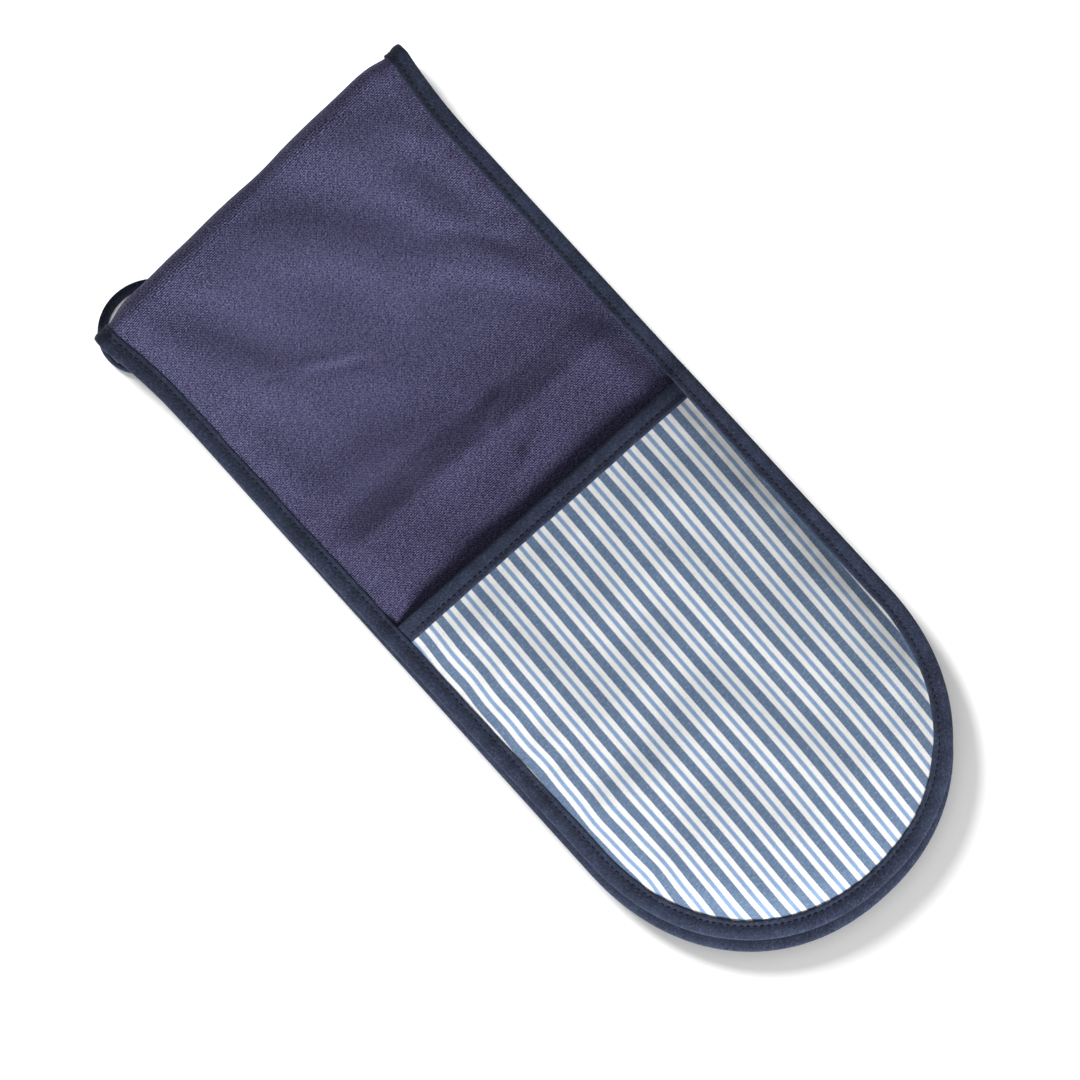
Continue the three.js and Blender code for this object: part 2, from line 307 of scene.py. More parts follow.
def relief(name, x, r):
    """A settled cloth's height at any points, read smoothly between its grid points."""
    across, along, heights = RELIEFS[name]
    u = np.clip((x - across[0]) / (across[1] - across[0]), 0, len(across) - 1.001)
    v = np.clip((r - along[0]) / (along[1] - along[0]), 0, len(along) - 1.001)
    i, j = u.astype(int), v.astype(int)
    fu, fv = u - i, v - j
    rows = []
    for step in (-1, 0, 1, 2):
        row = np.clip(j + step, 0, len(along) - 1)
        cells = [heights[row, np.clip(i + k, 0, len(across) - 1)] for k in (-1, 0, 1, 2)]
        rows.append(catmull(*cells, fu))
    return catmull(*rows, fv)


def settle_cloths():
    def drill_start(x, r):
        edge = smooth((np.abs(x) - 83) / -12)
        return edge * (0.7 * soft_folds(x, before_fold(r), DRILL_FOLDS) + 0.3 * ripple(x / 15, r / 15, 5, 2))

    def pocket_start(x, r):
        return 0.35 * ripple(x / 13, r / 20, 7, 2) * smooth((np.abs(x) - 83) / -12)

    settled("drill", 83.0, -OPEN - SLIP - 6, ROLL + OPEN + 6, drill_start, 0.008, 6.0)
    settled("pocket", 83.0, 6.0, POCKET - TAPE_WIDTH, pocket_start, 0.007, 5.0)


def seam_puckers(x, r, inset, seed):
    """Small waves where a cloth is gathered into the binding."""
    along = np.where(np.abs(x) > HALF - 40, r, x)
    wave = ripple(along / 2.6, x * 0.012, seed, 2)
    return wave * np.exp(-(((inset - 13.5) / 5.5) ** 2))


def front_swell(x, r, inset):
    """The front cloth's own relief, the same on both halves, less under the pocket."""
    before = before_fold(r)
    free = smooth((OPEN + 5 - before) / 12)
    total = 0.55 * relief("drill", x, r) + 1.5 * soft_folds(x, eased(before), DRILL_FOLDS)
    total = 2.6 * np.tanh(total / 2.6) - 0.6 + packing_crease(x, before)
    settle = smooth((inset - BORDER) / 16)
    roll = 1 - 0.75 * np.sin(np.clip(r / ROLL, 0, 1) * math.pi) ** 2
    mouth_rise = MOUTH_RISE * shoulder(inset, ROOM_SHOULDER) * hump(before - OPEN - 4, 40)
    return free * (total * settle * roll + 0.30 * seam_puckers(x, r, inset, 23)) + mouth_rise


def pocket_swell(x, r, inset):
    """The pocket cloth's relief; the lower pocket lies flat on what the glove lies on."""
    s = from_toe(r)
    wide = 0.45 * relief("pocket", x, s)
    left = np.exp(-(((x + 70) / 16) ** 2)) * ripple(x / 40, r / 6.5, 37, 2) * 0.60
    right = np.exp(-(((x - 76) / 10) ** 2)) * ripple(x / 40, r / 7.5, 41, 2) * 0.30
    settle = smooth((inset - BORDER) / 12) * smooth((POCKET - TAPE_WIDTH - s) / 18)
    puckers = 0.25 * seam_puckers(x, r, inset, 43) * smooth((POCKET - 6 - s) / 10)
    total = settle * (wide + left + right) + puckers
    return np.where(r < ROLL / 2, np.minimum(total, 0.0), total)


def room(s):
    into_dip = (s - (POCKET - TAPE_WIDTH - MOUTH_DIP_LENGTH)) / MOUTH_DIP_LENGTH
    return ROOM - MOUTH_DIP * smooth(into_dip)


def back_face(x, r, inset):
    return np.zeros(np.broadcast(x, r).shape)


def front_level(inset):
    return BACK + GAP + (WADDING + GAP) * shoulder(inset, SHOULDER)


def front_under(x, r, inset):
    return front_level(inset) + front_swell(x, r, inset)


def lining_under(x, r, inset):
    open_by = room(from_toe(r)) * shoulder(inset, ROOM_SHOULDER)
    return front_level(inset) + FRONT + GAP + open_by


def pocket_under(x, r, inset):
    fill = GAP + (POCKET_WADDING + GAP) * shoulder(inset, SHOULDER)
    return lining_under(x, r, inset) + LINING + fill + pocket_swell(x, r, inset)


def pocket_top(x, r, inset):
    return pocket_under(x, r, inset) + POCKET_CLOTH


# ---- Meshes ----
def shell_faces(rows, columns):
    """Faces of a closed sheet: its top grid, its under grid, and the walls between them."""
    index = np.arange(rows * columns).reshape(rows, columns)
    top = np.stack([index[:-1, :-1], index[1:, :-1], index[1:, 1:], index[:-1, 1:]], -1).reshape(-1, 4)
    under = top[:, ::-1] + rows * columns
    rim = np.concatenate([index[0, :], index[1:, -1], index[-1, -2::-1], index[-2:0:-1, 0]])
    after = np.roll(rim, -1)
    walls = np.stack([rim, after, after + rows * columns, rim + rows * columns], -1)
    return np.concatenate([top, under, walls])


def tube_faces(rows, columns, closed_rows):
    """Faces of a tube of cross-sections; open ends get no cap here."""
    index = np.arange(rows * columns).reshape(rows, columns)
    after = np.roll(index, -1, axis=0) if closed_rows else index[1:]
    before = index if closed_rows else index[:-1]
    beside = np.roll(before, -1, axis=1)
    beside_after = np.roll(after, -1, axis=1)
    return np.stack([before, beside, beside_after, after], -1).reshape(-1, 4)


def new_piece(name, points, faces, cloth_at, material, caps=()):
    """A mesh piece. cloth_at is each point's place in its own cloth: across, along and a spare value."""
    mesh = bpy.data.meshes.new(name)
    faces = [tuple(int(i) for i in f) for f in faces] + [tuple(int(i) for i in c) for c in caps]
    mesh.from_pydata(np.asarray(points, float).reshape(-1, 3).tolist(), [], faces)
    mesh.polygons.foreach_set("use_smooth", np.ones(len(mesh.polygons), bool))
    attribute = mesh.attributes.new("cloth_at", "FLOAT_VECTOR", "POINT")
    attribute.data.foreach_set("vector", np.asarray(cloth_at, np.float32).ravel())
    mesh.materials.append(material)
    mesh.validate()
    mesh.update()
    obj = bpy.data.objects.new(name, mesh)
    bpy.context.scene.collection.objects.link(obj)
    return obj


def ease_back(share):
    """The distance whose smooth step is a share."""
    share = np.clip(share, 0, 1)
    return 0.5 - np.sin(np.arcsin(1 - 2 * share) / 3)


def bend_with_fold(obj, r):
    """Lay a piece out straight along the roll and bake its transform, then put its shape back; its world matrix is
    left at identity.
    """
    mesh = obj.data
    shape = np.empty(len(mesh.vertices) * 3)
    mesh.vertices.foreach_get("co", shape)
    laid = np.zeros((len(mesh.vertices), 3))
    laid[:, 1] = ease_back(np.ravel(r) / ROLL)
    mesh.vertices.foreach_set("co", laid.ravel())
    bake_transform(obj)
    mesh.vertices.foreach_set("co", shape)
    mesh.update()


def toe_rows(inset, count):
    """Distances from the toe, close together at its tip."""
    turn = np.linspace(0.985, 0.0, count) * math.pi / 2
    return TOE - (TOE - inset) * np.sin(turn) ** (2 / FULLNESS)


def strip_rows(inset, step):
    """Rows of a whole strip, along r, from the lower toe over the fold to the upper toe."""
    toe = toe_rows(inset, 58)
    lower = np.concatenate([toe, np.arange(TOE + step, LOWER_LENGTH - step / 2, step)]) - LOWER_LENGTH
    upper = np.concatenate([toe, np.arange(TOE + step, UPPER_LENGTH - step / 2, step)]) - UPPER_LENGTH
    roll = np.linspace(0, ROLL, 25)
    return np.concatenate([lower, roll, (ROLL - upper)[::-1]])


def cloth(name, rows, inset, columns, under, thickness, material, skew=0.0):
    """A cloth of the strip as a closed thin sheet, from its underside's height and its thickness. skew is how
    far the cloth's own grain leans to the strip."""
    r = np.repeat(rows[:, None], columns, 1)
    u = np.linspace(-1, 1, columns)[None, :]
    x = half_width(r, inset) * u
    edge = inset_at(x, r)
    low = under(x, r, edge)
    top_points = place(x, r, low + thickness)
    under_points = place(x, r, low)
    points = np.concatenate([top_points.reshape(-1, 3), under_points.reshape(-1, 3)])
    grain = x + skew * (from_toe(r) - POCKET)
    if skew:
        grain = grain + STRIPE_WAVER * ripple(x / 30, r / 26, 91, 2) + left_waver(x, r)
    at = np.stack([grain.ravel(), r.ravel(), edge.ravel()], -1)
    obj = new_piece(name, points, shell_faces(*r.shape), np.concatenate([at, at]), material)
    return obj, np.concatenate([r.ravel(), r.ravel()])


def left_waver(x, r):
    """The ticking is pulled into small waves along the pocket's left seam."""
    return np.exp(-(((x + 78) / 16) ** 2)) * ripple(x / 60, r / 8.5, 37, 2) * 0.8


def pad(name, rows, inset, columns, under, top, material):
    """Wadding between two heights."""
    r = np.repeat(rows[:, None], columns, 1)
    x = half_width(r, inset) * np.linspace(-1, 1, columns)[None, :]
    edge = inset_at(x, r)
    sides = [place(x, r, face(x, r, edge)).reshape(-1, 3) for face in (top, under)]
    points = np.concatenate(sides)
    at = np.stack([x.ravel(), r.ravel(), edge.ravel()], -1)
    obj = new_piece(name, points, shell_faces(*r.shape), np.concatenate([at, at]), material)
    return obj, np.concatenate([r.ravel(), r.ravel()])


# ---- Materials ----
class Nodes:
    """Short names for the nodes of one material."""

    def __init__(self, name):
        self.material = bpy.data.materials.new(name)
        self.material.use_nodes = True
        self.tree = self.material.node_tree
        self.tree.nodes.clear()
        self.output = self.tree.nodes.new("ShaderNodeOutputMaterial")
        self.shader = self.tree.nodes.new("ShaderNodeBsdfPrincipled")
        self.tree.links.new(self.shader.outputs["BSDF"], self.output.inputs["Surface"])

    def put(self, socket, value):
        if isinstance(value, bpy.types.NodeSocket):
            self.tree.links.new(value, socket)
        else:
            socket.default_value = value

    def math(self, operation, a, b=0.0, c=0.0):
        node = self.tree.nodes.new("ShaderNodeMath")
        node.operation = operation
        for socket, value in zip(node.inputs, (a, b, c)):
            self.put(socket, value)
        return node.outputs[0]

    def mix(self, share, a, b, blend="MIX"):
        node = self.tree.nodes.new("ShaderNodeMix")
        node.data_type = "RGBA"
        node.blend_type = blend
        self.put(node.inputs[0], share)
        self.put(node.inputs[6], a)
        self.put(node.inputs[7], b)
        return node.outputs[2]

    def at(self):
        node = self.tree.nodes.new("ShaderNodeAttribute")
        node.attribute_name = "cloth_at"
        parts = self.tree.nodes.new("ShaderNodeSeparateXYZ")
        self.tree.links.new(node.outputs["Vector"], parts.inputs[0])
        return node.outputs["Vector"], parts.outputs[0], parts.outputs[1], parts.outputs[2]

    def point(self, x, y, z=0.0):
        node = self.tree.nodes.new("ShaderNodeCombineXYZ")
        for socket, value in zip(node.inputs, (x, y, z)):
            self.put(socket, value)
        return node.outputs[0]

    def noise(self, vector, scale, detail=2.0, rough=0.5):
        node = self.tree.nodes.new("ShaderNodeTexNoise")
        self.put(node.inputs["Vector"], vector)
        node.inputs["Scale"].default_value = scale
        node.inputs["Detail"].default_value = detail
        node.inputs["Roughness"].default_value = rough
        return node.outputs["Fac"]

    def ramp(self, share, stops, interpolation="LINEAR"):
        node = self.tree.nodes.new("ShaderNodeValToRGB")
        node.color_ramp.interpolation = interpolation
        elements = node.color_ramp.elements
        while len(elements) < len(stops):
            elements.new(1.0)
        for element, (position, colour) in zip(elements, stops):
            element.position = position
            element.color = colour if len(colour) == 4 else (*colour, 1.0)
        self.put(node.inputs[0], share)
        return node.outputs[0]

    def stretch(self, value, low, high, to_low=0.0, to_high=1.0):
        node = self.tree.nodes.new("ShaderNodeMapRange")
        node.clamp = True
        for socket, number in zip(node.inputs, (value, low, high, to_low, to_high)):
            self.put(socket, number)
        return node.outputs[0]

    def wave(self, value, pitch):
        """A thread's rise and fall, 0 to 1, repeating each pitch."""
        turned = self.math("MULTIPLY", value, 2 * math.pi / pitch)
        return self.math("MULTIPLY_ADD", self.math("SINE", turned), 0.5, 0.5)

    def bump(self, height, distance, strength=1.0):
        node = self.tree.nodes.new("ShaderNodeBump")
        node.inputs["Distance"].default_value = distance
        node.inputs["Strength"].default_value = strength
        self.put(node.inputs["Height"], height)
        self.tree.links.new(node.outputs[0], self.shader.inputs["Normal"])

    def finish(self, colour, roughness, sheen=0.0, sheen_tint=(1, 1, 1, 1)):
        self.put(self.shader.inputs["Base Color"], colour)
        self.put(self.shader.inputs["Roughness"], roughness)
        self.shader.inputs["Specular IOR Level"].default_value = 0.18
        self.shader.inputs["Sheen Weight"].default_value = sheen
        self.shader.inputs["Sheen Roughness"].default_value = 0.45
        self.shader.inputs["Sheen Tint"].default_value = sheen_tint
        return self.material


# Light on a flat white sheet here is this much over white, so colours are set lower by it.
EXPOSURE = 1.25


def srgb(red, green, blue):
    """A display colour, 0 to 255, as the linear colour that shows as it in this light."""
    linear = [((c / 255 + 0.055) / 1.055) ** 2.4 / EXPOSURE for c in (red, green, blue)]
    return (*linear, 1.0)


def drill_material():
    """Navy cotton drill: weft ribs crossed by a diagonal twill line, with paler fibres and dark gaps, and painted
    shade toward the pocket mouth.
    """
    n = Nodes("navy_drill")
    vector, x, y, _ = n.at()
    wobble = n.math("MULTIPLY", n.math("SUBTRACT", n.noise(vector, 0.30, 2.0), 0.5), 1.1)
    rib = n.wave(n.math("ADD", y, n.math("MULTIPLY", wobble, 0.35)), 0.88)
    diagonal = n.wave(n.math("ADD", n.math("MULTIPLY_ADD", y, -0.92, x), wobble), 1.62)
    warp = n.wave(n.math("ADD", x, n.math("MULTIPLY", wobble, 0.4)), 0.60)
    yarn = n.noise(n.point(n.math("MULTIPLY", x, 0.5), n.math("MULTIPLY", y, 1.5)), 1.4, 2.0, 0.6)
    weave = n.math("MULTIPLY", rib, n.math("MULTIPLY_ADD", diagonal, 0.75, 0.25))
    height = n.math("ADD", n.math("MULTIPLY", weave, 0.75), n.math("MULTIPLY", warp, 0.15))
    height = n.math("ADD", height, n.math("MULTIPLY", yarn, 0.45))
    broad = n.noise(vector, 0.020, 3.0, 0.55)
    speck = n.noise(vector, 0.95, 3.0, 0.75)
    base = n.mix(n.stretch(broad, 0.35, 0.65), srgb(51, 50, 85), srgb(61, 60, 99))
    base = n.mix(n.stretch(height, 0.45, 0.90, 0.0, 0.95), base, srgb(112, 109, 152))
    base = n.mix(n.stretch(height, 0.45, 0.22, 0.0, 0.95), base, srgb(22, 20, 36))
    slant = n.point(n.math("MULTIPLY_ADD", y, -0.92, x), n.math("MULTIPLY", n.math("ADD", x, y), 0.30))
    twill = n.noise(slant, 2.6, 1.0, 0.5)
    base = n.mix(n.stretch(twill, 0.50, 0.66, 0.0, 0.80), base, srgb(132, 129, 172))
    base = n.mix(n.stretch(twill, 0.50, 0.34, 0.0, 0.95), base, srgb(22, 20, 38))
    base = n.mix(n.stretch(speck, 0.54, 0.70, 0.0, 0.60), base, srgb(140, 140, 174))
    base = n.mix(n.stretch(speck, 0.46, 0.30, 0.0, 0.75), base, srgb(28, 27, 46))
    # Painted shade: the drill is darkened from 85 to 140 mm past the fold's middle, toward the pocket mouth.
    painted_shade_toward_mouth = n.stretch(n.math("ABSOLUTE", n.math("SUBTRACT", y, ROLL / 2)), 85, 140)
    base = n.mix(painted_shade_toward_mouth, base, (0.70, 0.68, 0.72, 1.0), "MULTIPLY")
    n.bump(height, 0.00040, 1.0)
    return n.finish(base, n.stretch(height, 0.2, 1.1, 0.95, 0.82), 0.18, srgb(190, 192, 225))


STRIPE_START = 3.6


def ticking_material():
    """Plain-woven cotton ticking with slate, white and pale blue stripes along it."""
    n = Nodes("ticking")
    vector, x, y, _ = n.at()
    pitch = 10.87
    fray = n.math("MULTIPLY", n.math("SUBTRACT", n.noise(vector, 1.6, 2.0), 0.5), 0.55)
    across = n.math("ADD", x, fray)
    share = n.math("FRACT", n.math("DIVIDE", n.math("ADD", across, 200 * pitch + STRIPE_START), pitch))
    slate, white, pale = srgb(88, 111, 142), srgb(238, 238, 236), srgb(130, 158, 195)
    edge = 0.030
    stops = [(0.0, white), (edge, slate), (0.405 - edge, slate), (0.405 + edge * 0.3, white)]
    stops += [(0.612 - edge, white), (0.612 + edge, pale), (0.791 - edge, pale), (0.791 + edge, white)]
    stripes = n.ramp(share, stops)
    black, bright = (0, 0, 0), (1, 1, 1)
    slate_here = n.ramp(share, [(0.0, black), (edge, bright), (0.405 - edge, bright), (0.405, black)])
    warp = n.wave(n.math("ADD", x, fray), 0.50)
    weft = n.wave(n.math("ADD", y, fray), 0.56)
    cross = n.math("ABSOLUTE", n.math("SUBTRACT", warp, weft))
    slub = n.noise(n.point(n.math("MULTIPLY", x, 1.5), n.math("MULTIPLY", y, 0.16)), 1.0, 3.0, 0.6)
    pick = n.noise(n.point(n.math("MULTIPLY", x, 0.3), n.math("MULTIPLY", y, 2.0)), 1.0, 2.0, 0.6)
    thread = n.math("MULTIPLY", n.math("MULTIPLY", n.stretch(pick, 0.42, 0.68), weft), 0.42)
    thread = n.math("MULTIPLY", thread, slate_here)
    colour = n.mix(thread, stripes, srgb(168, 186, 206))
    fleck = n.noise(vector, 1.1, 3.0, 0.75)
    colour = n.mix(n.stretch(fleck, 0.55, 0.80, 0.0, 0.40), colour, srgb(240, 242, 244))
    colour = n.mix(n.stretch(fleck, 0.45, 0.20, 0.0, 0.40), colour, srgb(58, 78, 108))
    colour = n.mix(n.stretch(slub, 0.40, 0.80, 0.0, 0.12), colour, srgb(70, 88, 112))
    colour = n.mix(n.stretch(cross, 0.0, 1.0, 0.12, 0.0), colour, srgb(40, 50, 66))
    height = n.math("ADD", n.math("MULTIPLY", cross, 0.6), n.math("MULTIPLY", slub, 0.5))
    height = n.math("ADD", height, n.math("MULTIPLY", fleck, 0.4))
    n.bump(height, 0.00018, 0.9)
    return n.finish(colour, 0.88, 0.10)


def tape_material():
    """Navy bias tape: a close weave at 45 degrees to its edge, paler on its raised parts: partly rubbed wear, partly
    painted highlight.
    """
    n = Nodes("navy_tape")
    vector, x, y, wear_and_highlight = n.at()
    one = n.wave(n.math("ADD", x, y), 0.85)
    two = n.wave(n.math("SUBTRACT", x, y), 0.85)
    weave = n.math("ABSOLUTE", n.math("SUBTRACT", one, two))
    across, along = n.math("ADD", x, y), n.math("SUBTRACT", x, y)
    slant = n.point(n.math("MULTIPLY", across, 0.9), n.math("MULTIPLY", along, 0.28))
    streak = n.noise(slant, 1.1, 3.0, 0.65)
    speck = n.noise(vector, 1.3, 3.0, 0.75)
    broad = n.noise(vector, 0.05, 2.0)
    base = n.mix(n.stretch(broad, 0.35, 0.65), srgb(31, 36, 54), srgb(42, 49, 71))
    base = n.mix(n.stretch(streak, 0.52, 0.70, 0.0, 0.50), base, srgb(74, 84, 110))
    base = n.mix(n.stretch(streak, 0.48, 0.30, 0.0, 0.60), base, srgb(18, 21, 35))
    base = n.mix(n.stretch(speck, 0.54, 0.72, 0.0, 0.50), base, srgb(92, 103, 130))
    base = n.mix(n.stretch(speck, 0.46, 0.28, 0.0, 0.60), base, srgb(15, 17, 30))
    # Paler where the third value is high: rubbed wear on the tape's folded edges, and painted highlight on its raised
    # lip and puffs.
    base = n.mix(n.math("MULTIPLY", wear_and_highlight, n.stretch(speck, 0.3, 0.7, 0.05, 0.50)), base, srgb(88, 101, 128))
    height = n.math("ADD", n.math("MULTIPLY", weave, 0.55), n.math("MULTIPLY", streak, 0.5))
    height = n.math("ADD", height, n.math("MULTIPLY", speck, 0.4))
    n.bump(height, 0.00024, 0.9)
    return n.finish(base, 0.86, 0.14, srgb(180, 190, 220))


def thread_material():
    """Twisted navy sewing thread."""
    n = Nodes("thread")
    _, x, y, _ = n.at()
    twist = n.wave(n.math("ADD", n.math("MULTIPLY", y, 1.0), x), 0.28)
    colour = n.mix(twist, srgb(9, 10, 19), srgb(22, 25, 42))
    n.bump(twist, 0.00006, 0.8)
    return n.finish(colour, 0.6, 0.1)


def wadding_material():
    """Off-white cotton wadding."""
    n = Nodes("wadding")
    vector = n.at()[0]
    fibre = n.noise(vector, 0.9, 4.0, 0.7)
    clump = n.noise(vector, 0.12, 2.0)
    colour = n.mix(n.stretch(fibre, 0.3, 0.7), srgb(214, 209, 198), srgb(240, 238, 231))
    colour = n.mix(n.stretch(clump, 0.35, 0.65, 0.0, 0.25), colour, srgb(196, 190, 178))
    n.bump(fibre, 0.0006, 0.9)
    return n.finish(colour, 0.95, 0.3)


def lining_material():
    """Plain undyed cotton."""
    n = Nodes("lining_cloth")
    _, x, y, _ = n.at()
    warp, weft = n.wave(x, 0.52), n.wave(y, 0.58)
    cross = n.math("ABSOLUTE", n.math("SUBTRACT", warp, weft))
    slub = n.noise(n.point(n.math("MULTIPLY", x, 1.4), n.math("MULTIPLY", y, 0.2)), 1.0, 3.0, 0.6)
    colour = n.mix(n.stretch(slub, 0.35, 0.7), srgb(222, 219, 210), srgb(238, 236, 230))
    colour = n.mix(n.stretch(cross, 0.0, 1.0, 0.12, 0.0), colour, srgb(150, 146, 136))
    n.bump(n.math("ADD", n.math("MULTIPLY", cross, 0.6), n.math("MULTIPLY", slub, 0.4)), 0.00012, 0.8)
    return n.finish(colour, 0.9, 0.1)


def floor_material():
    n = Nodes("floor")
    return n.finish((0.93, 0.93, 0.93, 1.0), 0.9)


# ---- The cloths ----
def build_cloths(materials):
    inset = 0.9
    rows = strip_rows(inset, 1.7)
    front, along = cloth("drill_cloth", rows, inset, 119, front_under, FRONT, materials["drill"])
    bend_with_fold(front, along)
    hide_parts("lower_front_cloth", "fold_front_cloth", "upper_front_cloth")

    back_rows = strip_rows(inset, 2.6)
    back, along = cloth("ticking_back", back_rows, inset, 75, back_face, BACK, materials["ticking"])
    bend_with_fold(back, along)
    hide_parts("lower_back_cloth", "fold_back_cloth", "upper_back_cloth")

    def pad_under(x, r, edge):
        return np.full(x.shape, BACK + 0.12)

    def pad_top(x, r, edge):
        return front_under(x, r, edge) - 0.12 - 0.06 * shoulder(edge, SHOULDER)

    start = BORDER + 0.6
    pad_rows = strip_rows(start, 3.4)
    body, along = pad("body_pad", pad_rows, start, 55, pad_under, pad_top, materials["wadding"])
    bend_with_fold(body, along)
    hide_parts("lower_wadding", "fold_wadding", "upper_wadding")


def pocket_rows(side, inset, last, step):
    toe = toe_rows(inset, 52)
    s = np.concatenate([toe, np.arange(TOE + step, last - step / 2, step), [last]])
    return s - LOWER_LENGTH if side == "lower" else (ROLL + UPPER_LENGTH - s)[::-1]


def build_pocket(side, materials):
    body = f"{side}_half"
    edge = POCKET + 0.1
    outer, _ = cloth(f"{side}_pocket_ticking", pocket_rows(side, 0.9, edge, 1.6), 0.9, 115, pocket_under,
                     POCKET_CLOTH, materials["ticking"], TICKING_SKEW)
    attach(outer, body)
    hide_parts(f"{side}_pocket_cloth")

    inner, _ = cloth(f"{side}_pocket_inside", pocket_rows(side, 0.9, edge, 3.0), 0.9, 63, lining_under,
                     LINING, materials["lining"])
    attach(inner, body)
    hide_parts(f"{side}_pocket_lining")

    def pad_under(x, r, inset):
        return lining_under(x, r, inset) + LINING + 0.12

    def pad_top(x, r, inset):
        return pocket_under(x, r, inset) - 0.12

    start = BORDER + 0.6
    filling, _ = pad(f"{side}_pocket_pad", pocket_rows(side, start, POCKET - TAPE_WIDTH - 1, 3.6), start, 51,
                     pad_under, pad_top, materials["wadding"])
    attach(filling, body)
    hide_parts(f"{side}_pocket_wadding")


# ---- Binding ----
def outline(step):
    """Stations of the strip's edge, all the way round: across sign and share, and the way along."""
    turns = np.linspace(0, math.pi, int(290 / step))
    across = np.sign(np.cos(turns)) * np.abs(np.cos(turns)) ** (2 / FULLNESS)
    rise = np.sin(turns) ** (2 / FULLNESS)
    lower_side = np.arange(TOE + step, LOWER_LENGTH - step / 2, step) - LOWER_LENGTH
    upper_side = ROLL + UPPER_LENGTH - np.arange(TOE + step, UPPER_LENGTH - step / 2, step)[::-1]
    side = np.concatenate([lower_side, np.linspace(0, ROLL, 23), upper_side])
    parts = []
    parts.append(np.stack([np.ones(len(side)), side, np.full(len(side), 9.0)], -1))
    parts.append(np.stack([across, rise, np.full(len(turns), 1.0)], -1))
    parts.append(np.stack([-np.ones(len(side)), side[::-1], np.full(len(side), 9.0)], -1))
    parts.append(np.stack([-across, rise, np.full(len(turns), -1.0)], -1))
    return np.concatenate(parts)


def edge_point(stations, inset):
    """x and r of the outline's stations at an inset; both broadcast."""
    across, along, kind = stations[:, 0:1], stations[:, 1:2], stations[:, 2:3]
    straight = kind > 5
    r_toe = (TOE - (TOE - inset) * along)
    r_toe = np.where(kind > 0, ROLL + UPPER_LENGTH - r_toe, r_toe - LOWER_LENGTH)
    r = np.where(straight, along + 0 * inset, r_toe)
    x = across * (HALF - inset) * np.where(straight, flare(r), 1.0)
    return x, r


def tape_top(r):
    """The stack's height at the border: over the pocket, or over the drill alone."""
    s = from_toe(r)
    drill = BACK + GAP + FRONT
    pocket = drill + GAP + LINING + GAP + POCKET_CLOTH
    return drill + (pocket - drill) * smooth((POCKET + 0.9 + TAPE_WIDTH - s) / TAPE_WIDTH)


# The binding's cross-section, from the back's inner edge round to the front's and back inside: inset, height, whether
# the height counts from the top of the cloths it holds or from their underside, and how pale it is painted, partly as
# rubbed wear and partly as painted highlight on its raised parts.
TAPE_SECTION = [
    (9.25, -0.16, 0, 0.2), (9.50, -0.40, 0, 0.3), (9.25, -0.72, 0, 0.4), (8.5, -0.86, 0, 0.2), (7.5, -0.78, 0, 0.0),
    (6.7, -0.55, 0, 0.0), (5.9, -0.74, 0, 0.0), (4.3, -0.90, 0, 0.1), (2.6, -0.88, 0, 0.2), (1.1, -0.66, 0, 0.4),
    (0.3, -0.28, 0, 0.5), (0.02, 0.10, 0, 0.4), (0.0, -0.35, 1, 0.4), (0.16, 0.10, 1, 0.5), (0.65, 0.48, 1, 0.4),
    (1.5, 0.78, 1, 0.3), (2.7, 0.96, 1, 0.3), (4.1, 0.94, 1, 0.2), (5.5, 0.72, 1, 0.0), (6.2, 0.52, 1, 0.0),
    (6.7, 0.40, 1, 0.0), (7.2, 0.55, 1, 0.0), (7.9, 0.82, 1, 0.1), (8.8, 0.90, 1, 0.4), (9.35, 0.72, 1, 0.8),
    (9.50, 0.40, 1, 0.5), (9.25, 0.10, 1, 0.2), (8.0, 0.14, 1, 0.0), (4.5, 0.24, 1, 0.0), (1.6, 0.12, 1, 0.0),
    (0.75, -0.30, 1, 0.0), (0.7, 0.20, 0, 0.0), (1.3, -0.16, 0, 0.0), (4.5, -0.20, 0, 0.0), (8.0, -0.16, 0, 0.0),
]


def build_edge_binding(materials):
    stations = outline(1.5)
    x0, r0 = edge_point(stations, np.array([[4.0]]))
    walk = np.concatenate([[0], np.cumsum(np.hypot(np.diff(x0[:, 0]), np.diff(r0[:, 0])))])
    section = np.array(TAPE_SECTION) * [TAPE_SHARE, 1, 1, 1]
    waver = ripple(walk / 7.0, walk * 0 + 1.3, 51, 2)[:, None]
    inner = smooth((section[None, :, 0] - 4.5) / 4)
    inset = section[None, :, 0] + inner * waver * 0.22 * np.where(section[None, :, 0] > 7.3, 1, 0.4)
    x, r = edge_point(stations, inset)
    top = tape_top(r)
    puff = ripple(walk / 1.9, walk * 0, 53, 2)[:, None] * 0.09
    from_top = section[None, :, 2] > 0.5
    outside = np.abs(section[None, :, 1]) > 0.35
    height = section[None, :, 1] + np.where(from_top, top, 0.0)
    height = height + np.where(outside, np.where(from_top, puff, -puff * 0.6), 0.0)
    points = place(x, r, height)
    cross = np.concatenate([[0], np.cumsum(np.hypot(np.diff(section[:, 0]), np.diff(section[:, 1])))])
    # The third value is how pale the tape is painted: rubbed wear, plus painted highlight where its puffs swell up.
    at = np.stack(np.broadcast_arrays(cross[None, :], walk[:, None], section[None, :, 3] + puff * 2), -1)
    faces = tube_faces(*x.shape, True)
    obj = new_piece("edge_tape", points, faces, at.reshape(-1, 3), materials["tape"])
    bend_with_fold(obj, r)
    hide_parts("lower_binding", "upper_binding", "fold_binding_left", "fold_binding_right")
    return stations


